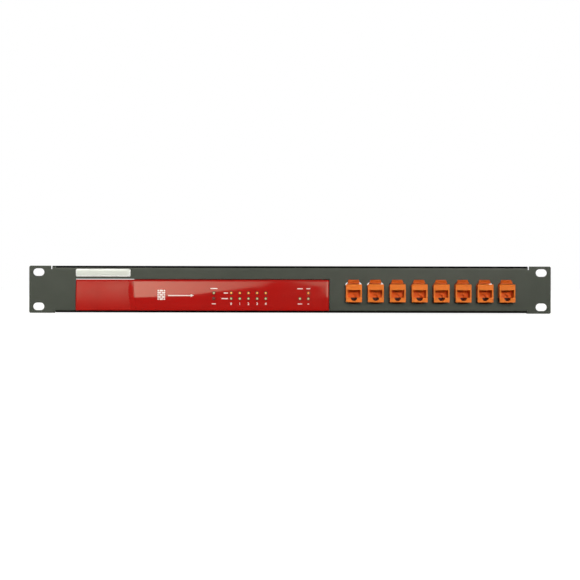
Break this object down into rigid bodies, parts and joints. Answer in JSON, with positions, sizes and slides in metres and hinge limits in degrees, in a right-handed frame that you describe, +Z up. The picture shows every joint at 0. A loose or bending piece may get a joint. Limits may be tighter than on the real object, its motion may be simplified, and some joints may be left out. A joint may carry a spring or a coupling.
{
  "type": "rack-mounted firewall appliance",
  "caption": "One-unit rack tray holding a small desktop firewall with status lights, its power adapter and a row of network couplers in the front panel.",
  "frame": {"origin": "centre of the four rack holes, on the rear face of the ears that meets the rack's rails", "axes": "+X along the front panel to the right as seen from the front, +Y into the rack, +Z up"},
  "size_m": [0.4826, 0.2357, 0.0436],
  "materials": {
    "tray_paint": "fine-textured satin powder coat",
    "badge_silver": "clear domed",
    "foam_black": "closed-cell foam",
    "screw_nickel": "nickel plated",
    "coupler_orange": "moulded, semi-gloss",
    "contact_gold": "gold plated",
    "case_red": "satin paint",
    "case_grey": "satin paint",
    "bezel_red": "polished",
    "lens_clear": "clear",
    "lamp_white": "satin",
    "board_green": "solder mask",
    "chip_black": "matte",
    "pad_grey": "matte",
    "sink_aluminium": "extruded",
    "can_aluminium": "satin",
    "cell_steel": "brushed",
    "jack_shield": "tin plated",
    "tongue_black": "matte",
    "adapter_black": "fine-textured",
    "bush_rubber": "matte",
    "ferrite_grey": "sintered",
    "winding_tape": "tape"
  },
  "bodies": {
    "chassis": {"rack_tray": "tray_paint", "badge_plate": "badge_silver", "rear_clamp_bar": "tray_paint", "clamp_pad": "foam_black", "adapter_strap": "tray_paint", "thumb_screws": "screw_nickel", "coupler_rear_shells": "coupler_orange", "coupler_contacts": "contact_gold", "case_base": "case_grey", "case_cover": "case_red", "cover_screws": "screw_nickel", "front_bezel": "bezel_red", "light_pipes": "lens_clear", "light_board": "board_green", "status_lamps": "lamp_white", "main_board": "board_green", "board_standoffs": "screw_nickel", "board_screws": "screw_nickel", "processor": "chip_black", "thermal_pad": "pad_grey", "heat_sink": "sink_aluminium", "memory_chips": "chip_black", "lan_magnetics": "chip_black", "capacitors": "can_aluminium", "inductors": "chip_black", "coin_cell": "cell_steel", "coin_cell_holder": "chip_black", "ethernet_jacks": "jack_shield", "console_jack": "jack_shield", "jack_contacts": "contact_gold", "usb_ports": "jack_shield", "usb_tongues": "tongue_black", "power_jack": "chip_black", "reset_switch": "chip_black", "adapter_case_lower": "adapter_black", "adapter_case_upper": "adapter_black", "adapter_inlet": "adapter_black", "adapter_inlet_pins": "screw_nickel", "adapter_outlet": "bush_rubber", "adapter_board": "board_green", "adapter_transformer": "ferrite_grey", "adapter_winding": "winding_tape", "adapter_capacitors": "can_aluminium", "coupler_housing_1": "coupler_orange", "coupler_housing_2": "coupler_orange", "coupler_housing_3": "coupler_orange", "coupler_housing_4": "coupler_orange", "coupler_housing_5": "coupler_orange", "coupler_housing_6": "coupler_orange", "coupler_housing_7": "coupler_orange", "coupler_housing_8": "coupler_orange"},
    "latch_1": {"coupler_latch_1": "coupler_orange"},
    "latch_2": {"coupler_latch_2": "coupler_orange"},
    "latch_3": {"coupler_latch_3": "coupler_orange"},
    "latch_4": {"coupler_latch_4": "coupler_orange"},
    "latch_5": {"coupler_latch_5": "coupler_orange"},
    "latch_6": {"coupler_latch_6": "coupler_orange"},
    "latch_7": {"coupler_latch_7": "coupler_orange"},
    "latch_8": {"coupler_latch_8": "coupler_orange"},
    "reset_key": {"reset_button": "chip_black"}
  },
  "joints": [
    {"name": "latch_hinge_1", "type": "hinge", "parent": "chassis", "child": "latch_1", "pos_m": [0.0588, 0.012, 0.0044], "axis": [1, 0, 0], "range_deg": [0, 9], "stiffness_Nm_per_rad": 0.1},
    {"name": "latch_hinge_2", "type": "hinge", "parent": "chassis", "child": "latch_2", "pos_m": [0.07895, 0.012, 0.0044], "axis": [1, 0, 0], "range_deg": [0, 9], "stiffness_Nm_per_rad": 0.1},
    {"name": "latch_hinge_3", "type": "hinge", "parent": "chassis", "child": "latch_3", "pos_m": [0.0991, 0.012, 0.0044], "axis": [1, 0, 0], "range_deg": [0, 9], "stiffness_Nm_per_rad": 0.1},
    {"name": "latch_hinge_4", "type": "hinge", "parent": "chassis", "child": "latch_4", "pos_m": [0.11925, 0.012, 0.0044], "axis": [1, 0, 0], "range_deg": [0, 9], "stiffness_Nm_per_rad": 0.1},
    {"name": "latch_hinge_5", "type": "hinge", "parent": "chassis", "child": "latch_5", "pos_m": [0.1394, 0.012, 0.0044], "axis": [1, 0, 0], "range_deg": [0, 9], "stiffness_Nm_per_rad": 0.1},
    {"name": "latch_hinge_6", "type": "hinge", "parent": "chassis", "child": "latch_6", "pos_m": [0.15955, 0.012, 0.0044], "axis": [1, 0, 0], "range_deg": [0, 9], "stiffness_Nm_per_rad": 0.1},
    {"name": "latch_hinge_7", "type": "hinge", "parent": "chassis", "child": "latch_7", "pos_m": [0.1797, 0.012, 0.0044], "axis": [1, 0, 0], "range_deg": [0, 9], "stiffness_Nm_per_rad": 0.1},
    {"name": "latch_hinge_8", "type": "hinge", "parent": "chassis", "child": "latch_8", "pos_m": [0.19985, 0.012, 0.0044], "axis": [1, 0, 0], "range_deg": [0, 9], "stiffness_Nm_per_rad": 0.1},
    {"name": "reset_press", "type": "slide", "parent": "chassis", "child": "reset_key", "axis": [0, -1, 0], "range_m": [0, 0.0008], "stiffness_N_per_m": 300}
  ]
}
